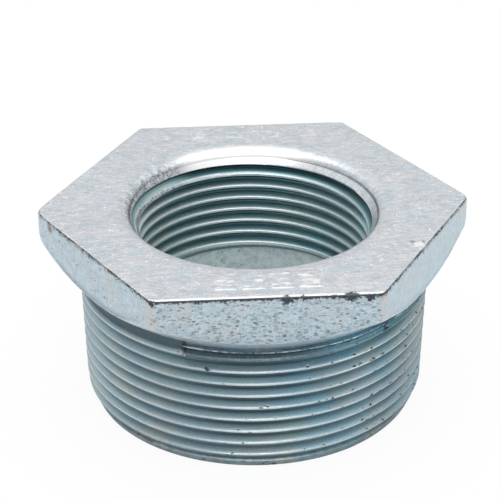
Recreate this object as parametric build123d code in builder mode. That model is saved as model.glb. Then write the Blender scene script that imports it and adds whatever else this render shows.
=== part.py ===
from build123d import *
from math import cos, pi, radians, tan
import os

# Hex reducing bushing, 2 inch to 1 1/4 inch pipe size: one malleable iron casting with a hexagon
# head, a tapered outside thread below it and a parallel inside thread through it. Lengths are in
# millimetres. +Z runs up the bore, from the male end face on z = 0 to the hexagon's top face, and
# two of the hexagon's corners lie along X.

# Hexagon head
overall_height = 34.3  # male end face to top face
head_overhang = 3.1  # how far the middle of each side face stands out past the neck
corner_round = 3.8  # the upright edges
face_height = 8.3  # side face, measured down its middle
underside_slope = 33.5  # degrees up from level, of the cone that trims the head from below
top_edge_bevel = 0.45
corner_bevel = 2.5  # between the cone and the upright edges, measured along each

# Pipe thread form shared by both threads, 11 turns to the inch
pitch = 25.4 / 11
thread_depth = 0.640327 * pitch
crest_flat = pitch / 6  # stands for the crest's rounding
cutter_overshoot = 0.2  # how far a groove's section reaches past the crest it is cut from

# Outside thread, tapered
male_end_radius = 29.25  # crest line where it meets z = 0
diameter_taper = 1 / 16
last_male_crest = 21.7  # height of the highest full crest
runout_height = 22.3  # where the thread gives way to the neck
end_chamfer_depth = 1.25
end_chamfer_height = 3.0

# Inside thread, parallel, with its mouth in the top face
minor_radius = 19.476
mouth_radius = 22.3  # cast lip, at the top face
lip_radius = 21.6  # foot of the lip, where the machined countersink begins
lip_depth = 1.25
first_female_crest = 3.65  # depth below the top face
female_thread_depth = 17.6
land_length = 1.1  # plain ring of the minor radius under the last groove

# Cored bore below the inside thread
core_step_height = 0.65  # bevel from the land out to the cored wall
core_radius = 20.35
core_edge_break = 0.7


def crest_radius(z):
    """Radius of the outside thread's crest line at height z."""
    return male_end_radius + z * diameter_taper / 2


def groove_section(crest, z, inward):
    """Corners of one groove's section at height z, cut inward (1) or outward (-1) from a crest radius.

    The root is drawn sharp, and the flanks carry on past the crest so that the cut is clean.
    """
    flank_run = (pitch - crest_flat) / 2 / thread_depth  # axial run for each unit of depth
    mouth_half = flank_run * (thread_depth + cutter_overshoot)
    mouth = crest + inward * cutter_overshoot
    return [(crest - inward * thread_depth, z), (mouth, z - mouth_half), (mouth, z + mouth_half)]


def underside_height(radius):
    """Height of the head's conical underside at a radius."""
    return overall_height - face_height + (radius - across_flats / 2) * tan(radians(underside_slope))


# The neck is as wide as the small end of the outside thread, and the head is set out from it
neck_radius = male_end_radius
across_flats = 2 * (neck_radius + head_overhang)
neck_top = underside_height(neck_radius)
corner_reach = (across_flats / 2 - corner_round) / cos(pi / 6) + corner_round
bevel_start = corner_reach - corner_bevel * cos(radians(underside_slope))

# Heights down the bore
countersink_top = overall_height - lip_depth
countersink_bottom = countersink_top - (lip_radius - minor_radius)
land_bottom = overall_height - female_thread_depth - land_length
core_top = land_bottom - core_step_height

# Heights of the thread grooves
male_groove_count = int(last_male_crest / pitch)
male_grooves = [last_male_crest - (turn + 0.5) * pitch for turn in range(male_groove_count)]
first_female_groove = overall_height - first_female_crest + pitch / 2
female_threaded_length = first_female_groove - (overall_height - female_thread_depth)
female_groove_count = int(female_threaded_length / pitch + 0.5)
female_grooves = [first_female_groove - turn * pitch for turn in range(female_groove_count)]

with BuildPart() as bushing:
    # Head: a hexagonal prism trimmed from below to a cone, and to a steeper bevel at its corners,
    # so that each side face ends below in an arc
    with BuildSketch(Plane.XY.offset(neck_top)) as hexagon:
        RegularPolygon(across_flats / 2, 6, major_radius=False)
        fillet(hexagon.vertices(), corner_round)
    extrude(amount=overall_height - neck_top)
    with BuildSketch(Plane.XZ):
        with BuildLine():
            Polyline(
                (0, neck_top),
                (neck_radius, neck_top),
                (bevel_start, underside_height(bevel_start)),
                (corner_reach, underside_height(corner_reach) + corner_bevel),
                (corner_reach, overall_height),
                (0, overall_height),
                close=True,
            )
        make_face()
    revolve(axis=Axis.Z, mode=Mode.INTERSECT)
    top_edges = bushing.faces().sort_by(Axis.Z)[-1].edges()
    chamfer(top_edges, top_edge_bevel)

    # Barrel: the blank of the outside thread, chamfered at its end, and the neck above it
    with BuildSketch(Plane.XZ):
        with BuildLine():
            Polyline(
                (0, 0),
                (male_end_radius - end_chamfer_depth, 0),
                (crest_radius(end_chamfer_height), end_chamfer_height),
                (crest_radius(runout_height), runout_height),
                (neck_radius, runout_height + crest_radius(runout_height) - neck_radius),
                (neck_radius, neck_top),
                (0, neck_top),
                close=True,
            )
        make_face()
    revolve(axis=Axis.Z)

    # Bore: countersunk mouth, minor diameter of the inside thread, then the cored passage
    with BuildSketch(Plane.XZ):
        with BuildLine():
            Polyline(
                (0, 0),
                (core_radius + core_edge_break, 0),
                (core_radius, core_edge_break),
                (core_radius, core_top),
                (minor_radius, land_bottom),
                (minor_radius, countersink_bottom),
                (lip_radius, countersink_top),
                (mouth_radius, overall_height),
                (0, overall_height),
                close=True,
            )
        make_face()
    revolve(axis=Axis.Z, mode=Mode.SUBTRACT)

    # Outside thread, its crests following the taper
    with BuildSketch(Plane.XZ):
        for height in male_grooves:
            Polygon(*groove_section(crest_radius(height), height, 1), align=None)
    revolve(axis=Axis.Z, mode=Mode.SUBTRACT)

    # Inside thread
    with BuildSketch(Plane.XZ):
        for height in female_grooves:
            Polygon(*groove_section(minor_radius, height, -1), align=None)
    revolve(axis=Axis.Z, mode=Mode.SUBTRACT)

bushing.part.label = "bushing"
os.makedirs("parts", exist_ok=True)
export_step(bushing.part, "parts/bushing.step")
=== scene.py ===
from math import atan2, cos, degrees, exp, hypot, log, pi, radians, sin, tan

import bmesh
import bpy
from bpy.props import FloatProperty, FloatVectorProperty, PointerProperty
from mathutils import Matrix, Vector, noise


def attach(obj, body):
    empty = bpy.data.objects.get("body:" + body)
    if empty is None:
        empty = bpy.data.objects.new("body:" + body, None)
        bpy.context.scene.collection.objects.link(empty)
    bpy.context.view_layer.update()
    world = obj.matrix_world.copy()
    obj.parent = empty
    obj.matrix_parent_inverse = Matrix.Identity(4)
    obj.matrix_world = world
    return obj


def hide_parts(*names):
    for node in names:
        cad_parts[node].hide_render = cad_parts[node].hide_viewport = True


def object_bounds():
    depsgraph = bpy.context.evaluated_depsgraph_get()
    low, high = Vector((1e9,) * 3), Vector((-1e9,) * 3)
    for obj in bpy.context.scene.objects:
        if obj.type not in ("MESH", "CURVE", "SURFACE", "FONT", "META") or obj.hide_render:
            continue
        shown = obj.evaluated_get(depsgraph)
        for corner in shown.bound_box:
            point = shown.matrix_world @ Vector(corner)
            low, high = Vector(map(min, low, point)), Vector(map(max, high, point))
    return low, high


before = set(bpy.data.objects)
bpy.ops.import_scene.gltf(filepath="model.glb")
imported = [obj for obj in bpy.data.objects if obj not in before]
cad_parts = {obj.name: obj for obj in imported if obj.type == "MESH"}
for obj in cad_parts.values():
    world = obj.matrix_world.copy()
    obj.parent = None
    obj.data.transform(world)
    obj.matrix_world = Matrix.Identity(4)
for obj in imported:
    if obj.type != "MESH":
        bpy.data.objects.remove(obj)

bl_info = {
    "name": "Hex Reducing Bushing",
    "version": (1, 0, 0),
    "blender": (4, 5, 0),
    "location": "3D View > Sidebar > Bushing",
    "description": "Models a galvanised hexagon reducing bushing with two pipe threads, and its studio",
    "category": "Object",
}

CAD_BOX = [list(corner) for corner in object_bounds()]
MM = 0.001

# Sizes below are in millimetres, +Z up the bore from the male end face.
COLUMNS = 288  # points in each ring round the bore
PITCH = 25.4 / 11
DEPTH = 0.640327 * PITCH  # of a pipe thread, from crest to root
UNEVENNESS = 0.09  # usual depth of the cast surface's lumps
CORNER_SPREAD = 0.65  # how much closer the columns lie at the hexagon's corners

# Heights where the open rings are bridged, from the male end up
CORE_TOP = 15.5
THREAD_TOP = 23.3
NECK_FOOT = 23.4
BORE_TOP = 32.6
HEIGHT = CAD_BOX[1][2] / MM
APOTHEM = CAD_BOX[1][1] / MM


# ---------------------------------------------------------------- small helpers

def smooth(low, high, value):
    """0 below low, 1 above high, with an easy slope between."""
    t = min(1.0, max(0.0, (value - low) / (high - low)))
    return t * t * (3 - 2 * t)


def turn_distance(a, b):
    """Signed distance in degrees from azimuth b to azimuth a, between -180 and 180."""
    return (a - b + 180) % 360 - 180


def bump(centre, width, value):
    """1 at the centre, falling to 0 at a width either side of it."""
    return 1 - smooth(0, width, abs(value - centre))


# ---------------------------------------------------------------- the surface of revolution

class Lathe:
    """A bmesh in millimetres, turned about Z, with the named vertex values that the finish reads."""

    # shade carries painted shade under the head and at the side face's foot; under carries a painted highlight on
    # the underside cone
    VALUES = (
        "groove", "threaded", "bore", "top", "pitting", "rim", "wear",
        "core", "shade", "axial", "score", "lip", "runout", "under",
    )

    def __init__(self):
        self.bm = bmesh.new()
        for name in ("row",) + self.VALUES:
            self.bm.verts.layers.float.new(name)
        self.row = self.bm.verts.layers.float["row"]
        self.values = {name: self.bm.verts.layers.float[name] for name in self.VALUES}

    def spin(self, profile, rise=0.0):
        """Turns a profile of (radius, height) points once about Z and returns the new vertices.

        A thread's points also carry how deep they lie in the groove, and how far above the crest.
        """
        before = set(self.bm.verts)
        verts = []
        for row, (radius, height, *thread) in enumerate(profile):
            vert = self.bm.verts.new((radius, 0, height))
            vert[self.row] = row
            if thread:
                self.set(vert, groove=thread[0], axial=thread[1])
            verts.append(vert)
        edges = [self.bm.edges.new(pair) for pair in zip(verts, verts[1:])]
        # A twelfth of a turn is spun and then copied round, which is much quicker than a whole turn
        bmesh.ops.spin(
            self.bm, geom=verts + edges, cent=(0, 0, 0), axis=(0, 0, 1), angle=pi / 6,
            dvec=(0, 0, rise / COLUMNS), steps=COLUMNS // 12, use_merge=False, use_duplicate=False,
        )
        self.repeat(before, 12, pi / 6, rise / 12)
        return self.newer(before)

    def newer(self, before):
        return [v for v in self.bm.verts if v not in before]

    def newer_geometry(self, before):
        """Vertices newer than a set of them, with their edges and faces."""
        verts = self.newer(before)
        edges = {e for v in verts for e in v.link_edges}
        faces = {f for v in verts for f in v.link_faces}
        return verts + list(edges) + list(faces)

    def repeat(self, before, times, angle, rise):
        """Copies all that is newer than a set of vertices, turned and raised, and joins the copies."""
        geom = self.newer_geometry(before)
        for number in range(1, times):
            copy = bmesh.ops.duplicate(self.bm, geom=geom)["geom"]
            moved = [v for v in copy if isinstance(v, bmesh.types.BMVert)]
            matrix = Matrix.Rotation(angle * number, 3, "Z")
            bmesh.ops.rotate(self.bm, verts=moved, cent=(0, 0, 0), matrix=matrix)
            bmesh.ops.translate(self.bm, verts=moved, vec=(0, 0, rise * number))
        bmesh.ops.remove_doubles(self.bm, verts=self.newer(before), dist=0.01)

    def screw(self, profile, turns, low, high):
        """Sweeps one pitch of thread up a helix, joins its turns and trims it between two heights."""
        before = set(self.bm.verts)
        self.spin(profile, PITCH)
        self.repeat(before, turns, 0, PITCH)
        for height, keep_above in ((low, True), (high, False)):
            bmesh.ops.bisect_plane(
                self.bm, geom=self.newer_geometry(before), dist=0.004,
                plane_co=(0, 0, height), plane_no=(0, 0, 1),
                clear_inner=keep_above, clear_outer=not keep_above,
            )
        return self.newer(before)

    def rim(self, verts, height):
        """Open edges of a set of vertices that lie at a height."""
        chosen = {v for v in verts if v.is_valid and abs(v.co.z - height) < 0.01}
        edges = {e for v in chosen for e in v.link_edges if e.is_boundary}
        return [e for e in edges if e.verts[0] in chosen and e.verts[1] in chosen]

    def bridge(self, *loops):
        """Closes the gap between two open rings of edges."""
        edges = [edge for loop in loops for edge in loop]
        bmesh.ops.bridge_loops(self.bm, edges=edges)

    def set(self, vert, **values):
        """Gives a vertex some of the named values."""
        for name, value in values.items():
            vert[self.values[name]] = value


# One pitch of the thread's rounded section, as (distance along the axis, depth below the crest).
HALF_SECTION = [
    (0, 0), (0.12, 0.01), (0.19, 0.06), (0.27, 0.19), (0.46, 0.54), (0.68, 0.94), (0.88, 1.30), (1.02, 1.42)]
SECTION = HALF_SECTION + [(PITCH / 2, DEPTH - 0.04)] + [(PITCH - a, d) for a, d in reversed(HALF_SECTION)]


def thread_profile(radius, low):
    """Points of one pitch of thread from a crest at a height, as Lathe.spin takes them."""
    return [
        (radius, low + along, depth / DEPTH, along if along < PITCH * 0.51 else along - PITCH)
        for along, depth in SECTION]


def crest_below(part, level):
    """Height at azimuth 0 of a thread's first crest line that lies a pitch or more below a level."""
    height = part.CREST_HEIGHT - PITCH * part.CREST_AZIMUTH / 360
    while height > level - PITCH:
        height -= PITCH
    return height


# ---------------------------------------------------------------- shape of each region

FACES = {30: 32.35, 90: 32.35, 150: 32.3, 210: 32.1, 270: 32.1, 330: 31.95}  # distance from the axis
CORNERS = {0: 0.55, 60: 0.3, 120: 0.3, 180: 0.85, 240: 0.36, 300: 0.36}  # softness of the outline
SWEEPS = {0: 2.8, 60: 2.5, 120: 2.5, 180: 3.6, 240: 2.0, 300: 2.0}  # rounding of the corner's foot


def hexagon_radius(azimuth):
    """Distance from the axis to the head's outline: the six faces, joined softly at their corners."""
    corner = 60 * round(azimuth / 60) % 360
    softness = CORNERS[corner]
    total = 0.0
    for face in ((corner + 30) % 360, (corner - 30) % 360):
        total += exp(-FACES[face] / cos(radians(turn_distance(azimuth, face))) / softness)
    return -softness * log(total)


def spread(azimuth, amount):
    """Shifts an azimuth so that columns lie closer together at the hexagon's corners."""
    return azimuth - degrees(amount * sin(radians(6 * azimuth)) / 6)


def grain(point, size, seed=0.0):
    """Smooth noise from -1 to 1 whose lumps are about one size across."""
    return noise.noise(Vector(point) / size + Vector((seed, 17 * seed, -5 * seed)))


class Head:
    """Radii and heights of the head's section, row by row, at any azimuth."""

    NECK = 29.27
    TOP_ROWS = 12
    CORNERED = (32.6, 36.6)  # reach of the outline where a corner begins, and where it is full
    FLATTER, FLATTER_FROM = 0.17, 32.7  # change of the underside's slope at the left and right corners
    STEEPER, STEEPER_FROM = 0.09, 32.2  # drop of the underside next to the neck
    # Cast lip, the scored line at its foot, and the top of the countersink
    MOUTH = (
        (24.1, 0.0), (23.35, 0.04), (22.7, 0.13), (22.2, 0.27), (21.8, 0.46), (21.53, 0.68), (21.36, 0.92),
        (21.30, 1.10), (21.27, 1.26), (21.19, 1.38), (21.10, 1.34), (21.0, 1.47), (20.9, 1.63),
    )
    SCORED = 9

    def __init__(self, sizes):
        self.edge = sizes.top_edge_round
        self.face_height = sizes.face_height
        self.slope = sizes.underside_slope

    def underside(self, radius, side):
        """Height of the underside: a cone, steeper near the neck and flatter at the left and right corners."""
        level = HEIGHT - self.face_height + (radius - APOTHEM) * tan(self.slope)
        level -= side * self.FLATTER * (radius - self.FLATTER_FROM)
        return level - self.STEEPER * max(0.0, self.STEEPER_FROM - radius) ** 2

    def section(self, azimuth):
        """List of (radius, height, share of the corner spread, values) from the neck to the bore."""
        reach = hexagon_radius(azimuth)
        cornered = smooth(*self.CORNERED, reach)
        side = max(bump(0, 40, turn_distance(azimuth, 0)), bump(0, 40, turn_distance(azimuth, 180)))
        tip = cornered * side
        # The neck's rows carry painted shade, and the underside's rows a painted highlight
        rows = [
            (self.NECK, NECK_FOOT, 0, {"shade": 1.0}),
            (self.NECK + 0.04, 23.47, 0, {"shade": 0.7}),
            (self.NECK + 0.14, 23.56, 0.1, {"shade": 0.3, "under": 0.3}),
            (self.NECK + 0.38, 23.74, 0.2, {"under": 0.8}),
        ]
        # Underside cone, rounded up into the side face, more so at the corners
        sweep = 0.5 + SWEEPS[60 * round(azimuth / 60) % 360] * cornered
        turned = pi / 2 - self.slope
        start, stop = self.NECK + 0.7, reach - sweep * (1 - cos(turned))
        for step in range(5):
            radius = start + (stop - start) * step / 5
            rows.append((radius, self.underside(radius, side), 0.4 + 0.12 * step, {"pitting": 0.3, "under": 1.0}))
        centre = self.underside(reach, side) + sweep * tan(turned / 2)
        # Rounded foot of the side face, where a thin line of painted shade lies and the painted highlight fades
        # out
        for step in range(5):
            turn = turned * (1 - step / 4)
            rows.append((reach - sweep * (1 - cos(turn)), centre - sweep * sin(turn), 1, {
                "wear": 0.5, "pitting": 1.0, "under": 1 - step / 3 if step < 3 else 0.0,
                "shade": 0.5 * (1 - cornered) if step == 4 else 0.0}))
        # Side face, the round of its top edge, and the top face in to the mouth
        edge = self.edge + 0.12 * tip
        face_top = HEIGHT - edge
        for share in (0.15, 0.35, 0.55, 0.72, 0.84, 0.92, 0.965, 1):
            height = centre + (face_top - centre) * share
            rim = max(0.0, 1 - (HEIGHT - height) / 1.6) * (1 - 0.2 * tip)
            rows.append((reach, height, 1, {"pitting": 1.0, "rim": rim, "wear": 0.6 * rim}))
        for step in range(1, 4):
            turn = step * pi / 6
            rows.append((reach - edge * (1 - cos(turn)), face_top + edge * sin(turn), 1, {
                "wear": 1.0, "top": (step - 1) / 2, "rim": (1.0 if step < 3 else 0.7) * (1 - 0.2 * tip)}))
        outer, inner = reach - edge, self.MOUTH[0][0]
        for step in range(1, self.TOP_ROWS):
            share = (step / self.TOP_ROWS) ** 1.3
            rows.append((outer + (inner - outer) * share, HEIGHT, (1 - share) ** 0.7, {"top": 1.0}))
        for number, (radius, drop) in enumerate(self.MOUTH):
            rows.append((radius, HEIGHT - drop, 0, {
                "top": 1.0, "lip": min(1.0, number / 5), "score": 1.0 if number == self.SCORED else 0.0}))
        return rows


class Outside:
    """Radius of the tapered outside thread, with its end chamfer and its run-out under the head."""

    CREST_AZIMUTH, CREST_HEIGHT = 266.1, 19.10  # a point on a crest line
    LAST_CREST = 21.41  # the topmost crest, above that point
    SEAM = 102.1  # azimuth where the topmost crest has sunk into the neck
    STEP = 141.0  # degrees past the seam, where the relief groove starts with a burr
    RIDGE = 22.76  # height of the relief groove's upper edge
    RELIEF_DEPTH, SETBACK = 0.42, 0.12  # of the relief groove and of its ridge, below the crests
    CHAMFER_DEPTH, CHAMFER_HEIGHT = 1.25, 3  # at the male end

    def __init__(self, sizes):
        self.end = sizes.end_radius
        self.taper = sizes.taper / 2

    def crest(self, z):
        return self.end + z * self.taper

    def topmost(self, azimuth):
        """Degrees past the seam, and the height of the topmost crest there."""
        past = (azimuth - self.SEAM) % 360
        return past, self.LAST_CREST + PITCH * (past + self.SEAM - self.CREST_AZIMUTH) / 360

    def radius(self, azimuth, z, groove):
        crest = self.crest(z)
        radius = crest - DEPTH * groove
        past, last = self.topmost(azimuth)
        if z > last:
            relieved = past > self.STEP - 0.6
            radius = self.relief(z, last, crest) if relieved else self.plain(z - last, crest)
        fading = smooth(290, 360, past)
        if fading and z > last - PITCH:
            radius += (self.plain(z - last + PITCH, crest) - radius) * fading
        return min(radius, self.chamfer(z))

    def chamfer(self, z):
        rise = self.CHAMFER_DEPTH + self.CHAMFER_HEIGHT * self.taper
        return self.end - self.CHAMFER_DEPTH + z * rise / self.CHAMFER_HEIGHT

    def plain(self, above, crest):
        """Slope from the last crest in to the neck."""
        return crest + (Head.NECK - crest) * smooth(0.12, 0.85, above)

    def relief(self, z, last, crest):
        """Shallow last groove, its ridge, and the neck above."""
        gap = self.RIDGE - last
        if z < self.RIDGE:
            share = max(0.0, z - last) / max(gap, 0.05)
            dip = self.RELIEF_DEPTH * smooth(0.1, 1.0, gap) * sin(pi * min(1.0, share)) ** 0.7
            return crest - self.SETBACK * share - dip
        rise = Head.NECK - crest + self.SETBACK
        return crest - self.SETBACK + rise * smooth(0.03, 0.4, z - self.RIDGE)


class Inside:
    """Radius of the parallel inside thread, from the countersunk mouth to the plain land."""

    CREST_AZIMUTH, CREST_HEIGHT = 86.1, 30.32
    LAND_BOTTOM = 15.6
    FADE = (15.95, 16.95)  # heights between which the grooves run out above the land
    FLARE, FLARE_RADIUS, FLARE_HEIGHT = 0.62, 20.42, 31.9  # countersink: its slope, and a point on it

    def __init__(self, sizes):
        self.minor = sizes.minor_radius

    def radius(self, z, groove):
        return self.minor + DEPTH * groove * smooth(*self.FADE, z)

    def countersink(self, z):
        return self.FLARE_RADIUS + (z - self.FLARE_HEIGHT) * self.FLARE


# ---------------------------------------------------------------- settings

def colour_setting(name, description, default):
    return FloatVectorProperty(
        name=name, description=description, subtype="COLOR", size=3, default=default, min=0, max=1)


class BushingSizes(bpy.types.PropertyGroup):
    """Sizes of the modelled bushing, in millimetres unless they say otherwise."""

    top_edge_round: FloatProperty(
        name="Top Edge Round", description="Radius of the top face's outer edge, in mm",
        default=0.3, min=0.1, max=1.5)
    face_height: FloatProperty(
        name="Face Height", description="Height of a side face down its middle, in mm",
        default=8.3, min=4, max=12)
    underside_slope: FloatProperty(
        name="Underside Slope", description="Slope of the head's conical underside",
        default=radians(33.5), subtype="ANGLE", unit="ROTATION")
    end_radius: FloatProperty(
        name="End Radius", description="Outside thread's crest radius at the male end, in mm",
        default=29.25)
    taper: FloatProperty(
        name="Taper", description="Change of the outside thread's diameter for each unit of its length",
        default=1 / 16)
    minor_radius: FloatProperty(
        name="Minor Radius", description="Inside thread's crest radius, in mm", default=19.476)
    unevenness: FloatProperty(
        name="Unevenness", description="Depth of the cast surface's lumps and edge dents, in mm",
        default=UNEVENNESS, min=0, max=0.4)


class BushingFinish(bpy.types.PropertyGroup):
    """Colours of the zinc coating."""

    zinc: colour_setting("Zinc", "Cast side faces", (0.47, 0.56, 0.61))
    ground: colour_setting("Ground Face", "Brushed top face", (0.615, 0.645, 0.672))
    thread: colour_setting("Thread", "Thread flanks", (0.36, 0.45, 0.49))
    # The crest colour serves the rubbed crests and the painted highlight along them
    crest: colour_setting("Crest", "Rubbed thread crests", (0.74, 0.79, 0.80))
    pit: colour_setting("Pit", "Pits and nicks", (0.05, 0.06, 0.08))
    rust: colour_setting("Rust", "Brown stains", (0.22, 0.14, 0.09))


class StudioSettings(bpy.types.PropertyGroup):
    """Strengths of the studio's lights."""

    front: FloatProperty(
        name="Front Softbox", description="Power of the front softbox", default=1.0, unit="POWER")
    overhead: FloatProperty(
        name="Overhead Softbox", description="Power of the overhead softbox", default=3.0, unit="POWER")
    zenith: FloatProperty(name="Zenith", description="World brightness overhead", default=0.9, min=0)
    horizon: FloatProperty(name="Horizon", description="World brightness at the horizon", default=0.85, min=0)


# ---------------------------------------------------------------- shader maths

class Signal:
    """A shader socket that Python arithmetic turns into Math nodes."""

    def __init__(self, finish, socket):
        self.finish, self.socket = finish, socket

    def math(self, operation, *others):
        return self.finish.node("ShaderNodeMath", {"operation": operation}, {
            number: value for number, value in enumerate((self,) + others)})

    def __add__(self, other): return self.math("ADD", other)
    def __mul__(self, other): return self.math("MULTIPLY", other)
    def __sub__(self, other): return self.math("SUBTRACT", other)
    def __truediv__(self, other): return self.math("DIVIDE", other)
    def __rsub__(self, other): return self * -1 + other
    __radd__ = __add__
    __rmul__ = __mul__

    def least(self, other): return self.math("MINIMUM", other)
    def most(self, other): return self.math("MAXIMUM", other)
    def size(self): return self.math("ABSOLUTE")

    def step(self, low, high):
        """0 below low and 1 above high, or the other way round where low is the larger."""
        flip = low > high
        low, high = min(low, high), max(low, high)
        ends = (1.0, 0.0) if flip else (0.0, 1.0)
        return self.finish.node("ShaderNodeMapRange", {"interpolation_type": "SMOOTHSTEP"}, {
            "Value": self, "From Min": low, "From Max": high, "To Min": ends[0], "To Max": ends[1]})


class Finish:
    """The node tree of a material or a world, and the one method that adds nodes to it."""

    def __init__(self, owner):
        owner.use_nodes = True
        self.tree = owner.node_tree
        self.tree.nodes.clear()

    def node(self, kind, settings=None, sockets=None, output=0):
        """Adds a node, links or sets its inputs, and returns one of its outputs, if it has any."""
        node = self.tree.nodes.new(kind)
        for name, value in (settings or {}).items():
            setattr(node, name, value)
        for key, value in (sockets or {}).items():
            if isinstance(value, Signal):
                self.tree.links.new(value.socket, node.inputs[key])
            elif node.inputs[key].type == "RGBA":
                node.inputs[key].default_value = (*value, 1)
            else:
                node.inputs[key].default_value = value
        return Signal(self, node.outputs[output]) if node.outputs else None

    def value(self, name):
        """A named vertex value of the mesh."""
        return self.node("ShaderNodeAttribute", {"attribute_name": name}, output="Fac")

    def place(self):
        """Object coordinates in millimetres."""
        point = self.node("ShaderNodeTexCoord", output="Object")
        return self.node("ShaderNodeVectorMath", {"operation": "SCALE"}, {0: point, "Scale": 1000.0})

    def stretched(self, point, along, turn=0.0):
        """The point, scaled along each axis and turned about Z."""
        return self.node("ShaderNodeMapping", {"vector_type": "POINT"}, {
            "Vector": point, "Scale": Vector(along), "Rotation": Vector((0, 0, turn))})

    def noise(self, point, scale, detail=2.0, roughness=0.5, distortion=0.0):
        return self.node("ShaderNodeTexNoise", None, {
            "Vector": point, "Scale": scale, "Detail": detail, "Roughness": roughness, "Distortion": distortion})

    def cells(self, point, scale, randomness=1.0, output="Distance"):
        return self.node("ShaderNodeTexVoronoi", None, {
            "Vector": point, "Scale": scale, "Randomness": randomness}, output)

    def distorted(self, point, amount, scale=1.3):
        """The point, moved about by noise so that cells look less regular."""
        shift = self.node("ShaderNodeTexNoise", None, {"Vector": point, "Scale": scale, "Detail": 2.0}, "Color")
        shift = self.node("ShaderNodeVectorMath", {"operation": "SCALE"}, {0: shift, "Scale": amount})
        return self.node("ShaderNodeVectorMath", {"operation": "ADD"}, {0: point, 1: shift})

    def spots(self, point, places):
        """1 inside ragged blobs given as (centre, size)."""
        point, total = self.distorted(self.distorted(point, 1.4, 1.6), 0.7, 5.0), None
        for centre, size in places:
            # Noise is never negative, so the distorted point has moved by this much on average
            middle = Vector(centre) + Vector((1.05, 1.05, 1.05))
            apart = self.node(
                "ShaderNodeVectorMath", {"operation": "DISTANCE"}, {0: point, 1: middle}, "Value")
            spot = apart.step(size, size * 0.7)
            total = total.most(spot) if total else spot
        return total

    def bars(self, x, y, middle, pitch, count, half_width, centre, half_height):
        """1 on a row of plain raised bars, fading to 0 round their edges."""
        start = middle + pitch * (count % 2 + 1) / 2 - pitch * 40
        along = (x - start).math("PINGPONG", pitch / 2) - half_width
        apart = along.most((y - centre).size() - half_height)
        row = (x - middle).size().step(pitch * count / 2 + 0.1, pitch * count / 2 - 0.1)
        return apart.step(0.35, -0.35) * row

    def blend(self, factor, first, second):
        """Colour that goes from the first to the second as the factor goes from 0 to 1."""
        return self.node("ShaderNodeMix", {"data_type": "RGBA"}, {0: factor, 6: first, 7: second}, 2)

    def tint(self, factor, colour, by):
        """Colour multiplied by another, as far as the factor says."""
        return self.node(
            "ShaderNodeMix", {"data_type": "RGBA", "blend_type": "MULTIPLY"}, {0: factor, 6: colour, 7: by}, 2)


def scaled(colour, factor):
    return [channel * factor for channel in colour]


# Spots that stand alone, as (centre, size)
CHIPPED = (
    ((3.0, -32.1, 33.8), 0.95), ((5.6, -32.1, 34.0), 0.55), ((10.6, -32.1, 34.1), 0.5),
    ((13.2, -32.1, 34.2), 1.25), ((16.3, -32.1, 33.7), 0.8), ((-18.4, -32.0, 34.0), 0.75),
    ((20.6, -21.9, 22.4), 0.85), ((21.9, -20.6, 22.9), 0.6), ((-9.6, -28.4, 19.3), 0.6),
    ((6.4, -28.9, 3.7), 0.65), ((-34.2, -4.4, 33.3), 0.35), ((13.5, -26.3, 22.3), 0.35),
)
RUSTY = (
    ((-34.4, -4.3, 33.1), 0.9), ((25.0, -15.2, 34.3), 0.5), ((26.8, -15.2, 34.3), 0.45),
    ((16.8, 10.1, 31.2), 0.95), ((-5.0, 20.0, 18.5), 0.5),
)
BRIGHT = (((26.1, -16.2, 34.3), 1.0), ((26.9, -17.0, 34.3), 0.6), ((-13.1, -27.1, 21.2), 0.5))


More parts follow.
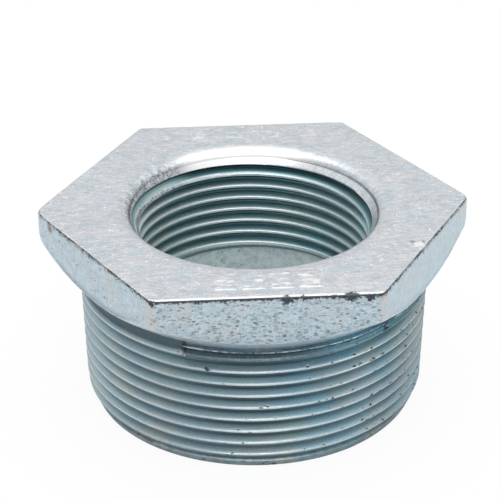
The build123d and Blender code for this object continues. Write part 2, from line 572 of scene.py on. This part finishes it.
def galvanised(colours):
    """Zinc coating on the casting: brushed on top, pitted at the sides, rubbed bright on the thread crests, with
    painted highlights and painted shade on the threads, the lip, the top edge and under the head.
    """
    material = bpy.data.materials.new("galvanised_iron")
    f = Finish(material)
    point = f.place()
    groove, threaded, bore = f.value("groove"), f.value("threaded"), f.value("bore")
    top, lip, pitting, rim = f.value("top"), f.value("lip"), f.value("pitting"), f.value("rim")
    core, shade, runout, under = f.value("core"), f.value("shade"), f.value("runout"), f.value("under")
    x, y, z = (f.node("ShaderNodeSeparateXYZ", None, {0: point}, axis) for axis in "XYZ")

    cloud = f.noise(point, 0.13, 3)
    warm = f.noise(point, 0.21, 3, 0.6)
    mottle = f.noise(point, 0.8, 4, 0.6)
    ragged = f.noise(point, 1.0, 4, 0.7)
    jagged = f.noise(point, 2.2, 4, 0.75)
    grit = f.noise(point, 4.5, 2)

    # Top face: mottled, with short streaks, small glints and plain cast bars
    streak = f.noise(f.stretched(point, (0.55, 1.7, 1), 0.05), 1.0, 5, 0.68, 0.8)
    patch = f.noise(f.stretched(point, (1, 1.3, 1)), 0.33, 4, 0.65, 0.6)
    glint = f.noise(f.stretched(point, (0.9, 1.5, 1), 0.3), 1.5, 3, 0.6).step(0.625, 0.70) * top
    front_bars = f.bars(x, y, 0.25, 4.5, 4, 1.7, -26.3, 2.6)
    bars = front_bars.most(f.bars(x, y, -1.5, 6.6, 5, 1.5, 28.3, 1.4) * 0.6) * top
    bar_light = bars * f.noise(f.stretched(point, (0.5, 1, 1)), 1.1, 3, 0.6).step(0.50, 0.62)

    # Rough, dirty patch on the lip at the back left; painted highlights whiten the lip at the back and the front
    # top edge
    rough = lip * (x * -1).step(9.0, 14.0) * y.step(-9.0, 2.0) * y.step(24.0, 16.0)
    dirt = rough * (ragged * 0.7 + jagged).step(0.76, 0.98)
    lip_highlight = (lip * 1.5).least(1.0) * y.step(12.0, 19.0) * (1.0 - rough)
    lip_highlight = lip_highlight * (x - 1.0 + ragged * 4).size().step(15.0, 7.0)
    lip_highlight = lip_highlight * (z + jagged).step(32.1, 32.9)
    front_edge_highlight = top * y.step(-31.05, -31.45) * (y + ragged * 0.8).step(-30.4, -31.1) * z.step(33.6, 33.9)

    # Pits: small dashes, long across the face, most of them on the front face
    wander = f.stretched(f.distorted(point, 0.6), (1.2, 1.2, 3.0))
    dash = f.cells(wander, 1.0) - f.cells(wander, 1.0, output="Color") * 0.42 + (1.0 - pitting) * 0.42
    dash = dash.step(0.15, 0.05)
    speck = f.noise(f.stretched(point, (2.0, 2.0, 4.6)), 1.0, 2, 0.55)
    speck = (speck + pitting * 0.2).step(0.80, 0.90) * pitting.step(0.3, 0.8)
    pit = dash.most(speck * 0.6) * pitting.step(0.02, 0.1)

    # Ragged dark line of painted shadow under the top edge's burr, and the scored line in the mouth
    front = y.step(-29.0, -32.0)
    edge_shadow_line = rim + (ragged - 0.5) * 0.8 + (jagged - 0.5) * (2.4 - front * 1.2)
    edge_shadow_line = edge_shadow_line.step(0.66, 0.84) * rim.step(0.3, 0.45) * top.step(0.9, 0.5)
    score = f.value("score").step(0.1, 0.5) * (x + y * 0.2).step(9.0, 13.0).most((x + y * 0.8).step(-14.0, -17.0))

    # Nicks in the thread crests, most of them on the right and at the end chamfer
    chips = f.cells(f.stretched(f.distorted(point, 0.9), (0.8, 0.8, 1.7)), 0.9)
    lean = f.noise(point, 0.3, 1) + x * 0.007 + z.step(4.0, 1.0) * 0.12
    nick = chips.step(0.30, 0.17) * threaded * groove.step(0.4, 0.1) * lean.step(0.50, 0.62)

    chipped, rusty, bright = (f.spots(point, places) for places in (CHIPPED, RUSTY, BRIGHT))

    # Rubbed line along each crest, carrying a painted highlight: on its upper edge on the left, on its lower edge
    # on the right, and broad at the front
    axial, across = f.value("axial"), (x * 0.055).least(1.0).most(-1.0)
    line = (axial + across * 0.13).size()
    broad_highlight, right = (x - 4.0).size().step(17.0, 3.0), x.step(8.0, 15.0)
    crest_wear_and_highlight = (line - broad_highlight * 0.16 - right * 0.06).step(0.10, 0.04) * groove.step(0.25, 0.1) * threaded
    rubbed = f.noise(f.stretched(point, (0.7, 0.7, 9)), 1.2, 3, 0.7).step(0.35, 0.6)
    crest_wear_and_highlight = crest_wear_and_highlight * (0.45 + right * 0.2 + 0.45 * rubbed)
    faint = z.step(9.0, 16.0) * 0.34 * x.step(14.0, 6.0) + (x + 12.5).size().step(8.0, 2.0) * 0.34
    faint = faint + (x - 8.0).size().step(7.0, 2.0) * 0.25
    crest_wear_and_highlight = crest_wear_and_highlight.least(1.0) * (1.0 - faint) * (1.0 - runout * x.step(9.0, 1.0))
    # Crest lines: the rubbed outside crests with their painted highlight, and a painted highlight line on each
    # bore crest
    crest = crest_wear_and_highlight.most((line + jagged * 0.2).step(0.70, 0.14) * bore * (x.step(-18.0, -4.0) * 0.35 + 0.62))
    # Painted shade in the thread roots, weaker on the right, at the far left and near the male end
    root = groove.step(0.55, 0.95) * (1.0 - (x * 0.05 - 0.15).least(0.62).most(0.0)) * x.size().step(31.0, 20.0)
    root = root * (1.0 - (x * -0.04 - 0.25).least(0.45).most(0.0))
    root = root * (z.step(0.0, 8.0) * 0.5 + 0.5)
    # Painted shade on the crest flats, towards the left
    crest_flat_shade = groove.step(0.2, 0.02) * threaded * (1.0 - crest_wear_and_highlight) * (across * -0.7).most(0.0)
    # Ragged dark line of painted shadow along the land's foot in the bore and the cored passage
    land_foot_shadow = (z + jagged * 0.9 - 16.15).size().step(0.42, 0.22) * bore.most(core)

    # Cast faces, warmer along the top edge and at two corners, and the brushed top face
    colour = f.blend(mottle.step(0.35, 0.7), scaled(colours.zinc, 0.93), scaled(colours.zinc, 1.10))
    corner = (x.size() - 18.4).size().step(1.1, 0.2) * y.step(-27.0, -30.0)
    warmed = (warm.step(0.50, 0.68) * (0.3 + rim * 0.6)).most(corner * ragged.step(0.35, 0.55) * 0.8)
    colour = f.blend(warmed, colour, (0.58, 0.54, 0.50))
    brushed = f.blend(streak.step(0.3, 0.7), scaled(colours.ground, 0.84), scaled(colours.ground, 1.12))
    patched = f.blend(patch.step(0.35, 0.65), (0.91, 0.96, 0.98), (1.07, 1.03, 1.02))
    brushed = f.tint(1.0, brushed, patched)
    colour = f.blend(top, colour, brushed)

    # Flanks, crests and roots of both threads, with painted shade and painted highlights
    flank = f.blend(cloud.step(0.46, 0.74), colours.thread, (0.44, 0.48, 0.47))
    flank = f.tint(bore, flank, (0.80, 0.95, 0.94))
    # Painted shade: flanks lighter next to the crest and darker towards the root
    flank = f.tint(1.0, flank, f.blend(groove.step(0.1, 0.8), (1.13, 1.13, 1.12), (0.87, 0.91, 0.92)))
    blue = f.noise(point, 0.085, 2).step(0.46, 0.62) * x.step(-6.0, 10.0) * 0.7
    flank = f.tint(blue, flank, (0.84, 1.06, 1.14))
    # Painted shade: outside thread's flanks darker on the right
    flank = f.tint(threaded * x.step(16.0, 23.0), flank, (0.78, 0.78, 0.78))
    colour = f.blend(threaded.most(bore), colour, flank)
    # Rubbed crests with their painted highlight, painted shade in the roots and on the crest flats
    colour = f.blend(crest, colour, colours.crest)
    colour = f.tint(root * 0.95, colour, f.blend(bore, (0.19, 0.22, 0.24), (0.36, 0.48, 0.50)))
    colour = f.tint(crest_flat_shade * 0.9, colour, (0.72, 0.75, 0.77))
    # Painted shade on the upper flanks of the inside thread's first grooves near the mouth, except on the left
    deep = bore * z.step(28.0, 31.0) * axial.step(0.1, 0.6) * x.step(-15.0, -9.0)
    colour = f.tint(deep, colour, (0.13, 0.19, 0.20))

    # Neck and underside: painted shade under the head and in the relief groove, a painted highlight on the
    # underside cone; the run-out with its burr, and the male end
    neck = f.blend(x.step(-13.1, -12.5) * y.step(2.0, -12.0), (0.16, 0.20, 0.23), (0.60, 0.72, 0.80))
    colour = f.tint(shade * 0.97, colour, neck)
    # Painted shade low in the relief groove, fading out to the right
    gap = runout * shade.step(0.0, 0.25) * z.step(22.75, 22.2) * x.step(17.0, 0.0) * 0.85
    colour = f.tint(gap, colour, (0.34, 0.38, 0.40))
    # Painted highlight on the underside cone, near white
    colour = f.blend(under * (0.95 - streak.step(0.55, 0.7) * 0.2), colour, (0.86, 0.90, 0.93))
    burr = f.blend(jagged.step(0.52, 0.70), (0.29, 0.31, 0.33), (0.66, 0.64, 0.61))
    colour = f.tint(runout * 0.9, colour, burr)
    colour = f.tint(runout * x.step(5.0, 14.0), colour, (1.0, 1.35, 1.38))
    soiled = f.blend(mottle.step(0.4, 0.6), (0.38, 0.41, 0.41), (0.70, 0.72, 0.72))
    colour = f.tint(threaded * z.step(3.2, 1.2) * 0.6, colour, soiled)

    # Cored passage, then the grit and dirt that lie over everything
    cored = f.blend(mottle.step(0.30, 0.62), (0.50, 0.58, 0.60), (0.70, 0.80, 0.80))
    colour = f.blend(core, colour, cored)
    blister = core * (f.cells(point, 0.8) + jagged * 0.3).step(0.34, 0.24) * 0.6
    colour = f.blend(blister, colour, (0.14, 0.18, 0.19))
    colour = f.tint(1.0, colour, f.blend(grit.step(0.3, 0.7), (0.88, 0.88, 0.88), (1.10, 1.10, 1.10)))
    colour = f.blend(dirt * 0.85, colour, (0.13, 0.15, 0.16))

    # Lighter places: turned rings in the countersink, white chips, and painted highlights on the lip at the back,
    # the front top edge, the relief groove's ridge, the glints and the bars
    sunk = lip * z.step(33.0, 32.7) * x.step(8.0, 15.0)
    rings = (z * 7.0 + ragged).math("PINGPONG", 1.0).step(0.2, 0.8)
    colour = f.tint(sunk, colour, f.blend(rings, (1.05, 1.05, 1.05), (1.5, 1.5, 1.5)))
    # Painted highlight along the relief groove's ridge, brighter on the right
    ridge = (z - Outside.RIDGE).size().step(0.17, 0.06) * runout * ragged.step(0.38, 0.62)
    highlights_and_white_chips = lip_highlight.most(front_edge_highlight).most(ridge * (0.5 + 0.45 * x.step(4.0, 13.0)))
    highlights_and_white_chips = highlights_and_white_chips.most(glint * 0.8).most(bar_light * 0.7).most(bright * 0.6)
    colour = f.blend(highlights_and_white_chips, colour, (0.98, 0.98, 0.98))

    # Rust, pits, and the dark marks: nicks, chips and the score, with the lines of painted shadow under the top
    # edge and along the land's foot
    colour = f.blend(rusty * 0.8, colour, colours.rust)
    colour = f.blend(pit * (0.16 + 0.48 * f.noise(point, 1.1, 1).step(0.42, 0.7)), colour, colours.pit)
    patchy = f.noise(point, 0.45, 3, 0.7).step(0.40, 0.60)
    dark_marks_and_shadows = nick.most(edge_shadow_line * (0.55 + 0.45 * patchy.most(front)))
    dark_marks_and_shadows = dark_marks_and_shadows.most(score * 0.7).most(chipped).most(land_foot_shadow * 0.55)
    # Painted glints just above the top edge at the left and right
    edge_glint = rim.step(0.1, 0.4) * top.step(0.6, 0.95) * jagged.step(0.53, 0.64) * x.size().step(22.0, 27.0)
    colour = f.blend(edge_glint * 0.7, colour, (0.95, 0.90, 0.82))
    brown = x.step(-16.0, -26.0) * ragged.step(0.4, 0.6)
    colour = f.blend(dark_marks_and_shadows * 0.92, colour, f.blend(brown, scaled(colours.pit, 0.5), (0.11, 0.07, 0.05)))

    height = streak * top * 0.03 + grit * 0.008 + glint * 0.02 + bars * 0.10 + rough * ragged * 0.25
    height = height - pit * 0.10 - dark_marks_and_shadows * 0.12 + runout * ragged * 0.15
    normal = f.node("ShaderNodeBump", None, {"Strength": 1.0, "Distance": 0.001, "Height": height})
    shader = f.node("ShaderNodeBsdfPrincipled", None, {
        "Base Color": colour,
        "Metallic": 0.95 - core * 0.6 - rusty * 0.6 - dirt * 0.4,
        "Roughness": mottle * 0.16 + 0.30 + pit * 0.2 - crest * 0.06,
        "Normal": normal,
    })
    f.node("ShaderNodeOutputMaterial", None, {"Surface": shader})
    return material


# ---------------------------------------------------------------- the bushing

FACE_PITTING = {0: 0.5, 1: 0.35, 2: 0.4, 3: 0.72, 4: 1.0, 5: 0.2}  # by side face, from azimuth 30 on


def polar(vert):
    """Azimuth of a vertex, in degrees from 0 to 360."""
    return degrees(atan2(vert.co.y, vert.co.x)) % 360


def move(vert, azimuth, radius, height):
    """Puts a vertex at cylindrical coordinates."""
    a = radians(azimuth)
    vert.co = (radius * cos(a), radius * sin(a), height)


def shape_outside(lathe, verts, sizes):
    """Moves the outside thread's points to the taper, the end chamfer and the run-out."""
    outside = Outside(sizes)
    for vert in verts:
        azimuth, z = polar(vert), max(0.0, vert.co.z)
        groove = vert[lathe.values["groove"]]
        radius = outside.radius(azimuth, z, groove)
        depth = min(1.0, max(0.0, (outside.crest(z) - radius) / DEPTH))
        point = (29 * cos(radians(azimuth)), 29 * sin(radians(azimuth)), z)
        radius -= 0.035 * sizes.unevenness / UNEVENNESS * (0.5 + 0.5 * grain(point, 1.6))
        move(vert, azimuth, radius, z)
        past, last = outside.topmost(azimuth)
        runout = smooth(last - 0.75, last - 0.45, z) * smooth(outside.STEP - 0.6, outside.STEP, past)
        if outside.chamfer(z) <= radius + 0.04:
            depth = 0.2
        lathe.set(vert, groove=depth, threaded=1.0, runout=runout, shade=smooth(last + 0.15, last + 0.75, z))


def shape_inside(lathe, verts, sizes):
    """Moves the inside thread's points to the parallel thread, its land and the countersink."""
    inside = Inside(sizes)
    for vert in verts:
        azimuth, z = polar(vert), vert.co.z
        cut = inside.radius(z, vert[lathe.values["groove"]])
        countersink = inside.countersink(z)
        move(vert, azimuth, max(cut, countersink), z)
        if countersink > cut + 0.01:
            lathe.set(vert, groove=0.0, top=1.0, lip=1.0)
        else:
            lathe.set(vert, groove=min(1.0, (cut - inside.minor) / DEPTH), bore=1.0)


def shape_head(lathe, verts, sizes):
    """Moves each column of the head's points to the section at its azimuth."""
    head = Head(sizes)
    sections = {}
    for vert in verts:
        azimuth = polar(vert)
        column = round(azimuth * COLUMNS / 360) % COLUMNS
        if column not in sections:
            nominal = column * 360 / COLUMNS
            sections[column] = (nominal, head.section(spread(nominal, CORNER_SPREAD)))
        nominal, rows = sections[column]
        radius, z, share, values = rows[round(vert[lathe.row])]
        azimuth = spread(nominal, CORNER_SPREAD * share)
        face = int(azimuth // 60) % 6
        if "pitting" in values:
            values = dict(values, pitting=values["pitting"] * FACE_PITTING[face])
        move(vert, azimuth, radius, z)
        lathe.set(vert, **values)


def roughen(lathe, verts, depth):
    """Sinks the casting's surface by smooth lumps, and dents its edges a little more."""
    for vert in verts:
        if not vert.is_valid:
            continue
        x, y, z = vert.co
        out = hypot(x, y)
        lump = 0.5 + 0.5 * grain(vert.co, 5.0, 3) * 0.6 + 0.2 * grain(vert.co, 1.8, 8)
        wear = vert[lathe.values["wear"]]
        dent = max(0.0, grain(vert.co, 1.1, 5) - 0.1) * wear * 2.4
        sink = depth * (max(0.0, lump) * 0.8 + dent)
        flat = vert[lathe.values["top"]]
        if flat > 0.9 and out < 24.5:
            sink *= 0.4
        vert.co.z -= sink * flat * 0.6
        scale = 1 - sink * (1 - flat * 0.5) / out
        vert.co.x, vert.co.y = x * scale, y * scale


# Cored passage below the inside thread, from its step down to the male end, as (radius, height)
CORE = [
    (19.62, CORE_TOP), (19.95, 15.22), (20.25, 15.05), (20.35, 14.8), (20.35, 11), (20.35, 7.5), (20.35, 4),
    (20.35, 0.9), (20.5, 0.4), (20.8, 0.12), (21.1, 0.0)]


def build_bushing(sizes):
    """Makes the four turned regions, shapes them, and joins them into one closed mesh."""
    lathe = Lathe()
    land = Inside.LAND_BOTTOM
    threads = lathe.screw(thread_profile(29, crest_below(Outside, 0)), 12, 0.0, THREAD_TOP)
    shape_outside(lathe, threads, sizes)
    bore = lathe.screw(thread_profile(20, crest_below(Inside, land)), 10, land, BORE_TOP)
    shape_inside(lathe, bore, sizes)
    upper = lathe.spin([(radius, height) for radius, height, _, _ in Head(sizes).section(30)])
    shape_head(lathe, upper, sizes)
    core = lathe.spin(CORE)
    for vert in core:
        lathe.set(vert, core=1.0)

    lathe.bridge(lathe.rim(threads, THREAD_TOP), lathe.rim(upper, NECK_FOOT))
    lathe.bridge(lathe.rim(upper, HEIGHT - Head.MOUTH[-1][1]), lathe.rim(bore, BORE_TOP))
    lathe.bridge(lathe.rim(bore, land), lathe.rim(core, CORE_TOP))
    lathe.bridge(lathe.rim(core, 0.0), lathe.rim(threads, 0.0))
    roughen(lathe, upper, sizes.unevenness)
    bm = lathe.bm
    open_edges = [e for e in bm.edges if not e.is_manifold]
    if open_edges:
        first = open_edges[0].verts[0].co
        raise RuntimeError(f"the bushing has {len(open_edges)} open edges, first at {first}")
    bmesh.ops.recalc_face_normals(bm, faces=bm.faces)
    bmesh.ops.scale(bm, vec=(MM, MM, MM), verts=bm.verts)
    for face in bm.faces:
        face.smooth = True
    mesh = bpy.data.meshes.new("hex_bushing")
    bm.to_mesh(mesh)
    bm.free()
    mesh.set_sharp_from_angle(angle=radians(50))
    piece = bpy.data.objects.new("hex_bushing", mesh)
    bpy.context.scene.collection.objects.link(piece)
    return piece


# ---------------------------------------------------------------- operators

class BUSHING_OT_body(bpy.types.Operator):
    """Model the galvanised bushing with both threads"""

    bl_idname = "bushing.body"
    bl_label = "Make Bushing"

    def execute(self, context):
        scene = context.scene
        piece = build_bushing(scene.bushing_sizes)
        piece.data.materials.append(galvanised(scene.bushing_finish))
        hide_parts("bushing")
        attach(piece, "root")
        return {"FINISHED"}


class BUSHING_OT_stage(bpy.types.Operator):
    """Set the floor, the lights and the camera"""

    bl_idname = "bushing.stage"
    bl_label = "Set Stage"

    def execute(self, context):
        settings = context.scene.bushing_studio
        make_floor()
        make_world(settings)
        softbox("front_softbox", 262, 50, 0.75, (0.6, 0.3), settings.front)
        softbox("overhead_softbox", 90, 80, 0.8, (0.8, 0.8), settings.overhead)
        make_camera()
        return {"FINISHED"}


def make_floor():
    """A pale ground plane that shows nearly white to the camera."""
    bm = bmesh.new()
    bmesh.ops.create_grid(bm, x_segments=8, y_segments=8, size=1.5)
    mesh = bpy.data.meshes.new("floor")
    bm.to_mesh(mesh)
    bm.free()
    floor = bpy.data.objects.new("floor", mesh)
    bpy.context.scene.collection.objects.link(floor)
    material = bpy.data.materials.new("studio_floor")
    f = Finish(material)
    paper = f.node("ShaderNodeBsdfDiffuse", None, {"Color": (0.80, 0.81, 0.82)})
    glow = f.node("ShaderNodeEmission", None, {"Color": (1, 1, 1), "Strength": 1.0})
    seen = f.node("ShaderNodeLightPath", output="Is Camera Ray")
    shader = f.node("ShaderNodeMixShader", None, {0: seen * 0.92, 1: paper, 2: glow})
    f.node("ShaderNodeOutputMaterial", None, {"Surface": shader})
    mesh.materials.append(material)


def make_world(settings):
    """White to the camera, and a sky that goes from the horizon's level to the zenith's."""
    world = bpy.data.worlds.new("studio")
    bpy.context.scene.world = world
    f = Finish(world)
    direction = f.node("ShaderNodeTexCoord", output="Generated")
    up = f.node("ShaderNodeSeparateXYZ", None, {0: direction}, "Z")
    level = up.step(0.5, 0.95)
    sky = f.blend(level, [settings.horizon] * 3, [settings.zenith] * 3)
    seen = f.node("ShaderNodeLightPath", output="Is Camera Ray")
    colour = f.blend(seen, sky, (1, 1, 1))
    glow = f.node("ShaderNodeBackground", None, {"Color": colour, "Strength": 1.0})
    f.node("ShaderNodeOutputWorld", None, {"Surface": glow})


def softbox(name, azimuth, elevation, distance, size, power):
    """A rectangular light that faces the bushing: angles in degrees, distance and size in metres."""
    light = bpy.data.lights.new(name, "AREA")
    light.shape = "RECTANGLE"
    light.size, light.size_y = size
    light.energy = power
    lamp = bpy.data.objects.new(name, light)
    a, e = radians(azimuth), radians(elevation)
    away = Vector((cos(a) * cos(e), sin(a) * cos(e), sin(e)))
    lamp.location = away * distance + Vector((0, 0, 0.02))
    lamp.rotation_mode = "QUATERNION"
    lamp.rotation_quaternion = away.to_track_quat("Z", "Y")
    bpy.context.scene.collection.objects.link(lamp)


SENSOR = 36  # width, in mm
FOCAL, FOCAL_WIDTH = 1998.7, 500  # focal length, and the picture's width in the same unit
CAMERA_TURN, CAMERA_TILT, CAMERA_ROLL = radians(-3.907), radians(28.457), radians(-0.145)
CAMERA_PLACE = (-0.6244, -302.724, 189.566)  # in mm, before the turn about Z


def make_camera():
    camera = bpy.data.cameras.new("camera")
    camera.sensor_width = SENSOR
    camera.lens = SENSOR * FOCAL / FOCAL_WIDTH
    camera.clip_start, camera.clip_end = 0.01, 20
    turn = Matrix.Rotation(CAMERA_TURN, 3, "Z")
    forward = turn @ Vector((0, cos(CAMERA_TILT), -sin(CAMERA_TILT)))
    level = turn @ Vector((1, 0, 0))
    above = level.cross(forward)
    right = cos(CAMERA_ROLL) * level + sin(CAMERA_ROLL) * above
    up = -sin(CAMERA_ROLL) * level + cos(CAMERA_ROLL) * above
    matrix = Matrix((right, up, -forward)).transposed().to_4x4()
    matrix.translation = turn @ Vector(CAMERA_PLACE) * MM
    holder = bpy.data.objects.new("camera", camera)
    holder.matrix_world = matrix
    bpy.context.scene.collection.objects.link(holder)
    bpy.context.scene.camera = holder


class BUSHING_PT_panel(bpy.types.Panel):
    """Lists the bushing's operators and settings"""

    bl_label = "Hex Bushing"
    bl_idname = "BUSHING_PT_panel"
    bl_space_type = "VIEW_3D"
    bl_region_type = "UI"
    bl_category = "Bushing"

    def draw(self, context):
        scene = context.scene
        for settings, operator in (
            (scene.bushing_sizes, "bushing.body"),
            (scene.bushing_finish, None),
            (scene.bushing_studio, "bushing.stage"),
        ):
            box = self.layout.box()
            for name in settings.bl_rna.properties.keys():
                if name not in ("rna_type", "name"):
                    box.prop(settings, name)
            if operator:
                box.operator(operator)


SETTINGS = {"bushing_sizes": BushingSizes, "bushing_finish": BushingFinish, "bushing_studio": StudioSettings}
CLASSES = (*SETTINGS.values(), BUSHING_OT_body, BUSHING_OT_stage, BUSHING_PT_panel)


def register():
    for cls in CLASSES:
        bpy.utils.register_class(cls)
    for name, group in SETTINGS.items():
        setattr(bpy.types.Scene, name, PointerProperty(type=group))


def unregister():
    for name in SETTINGS:
        delattr(bpy.types.Scene, name)
    for cls in reversed(CLASSES):
        bpy.utils.unregister_class(cls)


def main():
    """Makes the bushing and its studio."""
    register()
    bpy.context.scene.view_settings.view_transform = "Standard"
    bpy.ops.bushing.body()
    bpy.ops.bushing.stage()


if __name__ == "__main__":
    main()
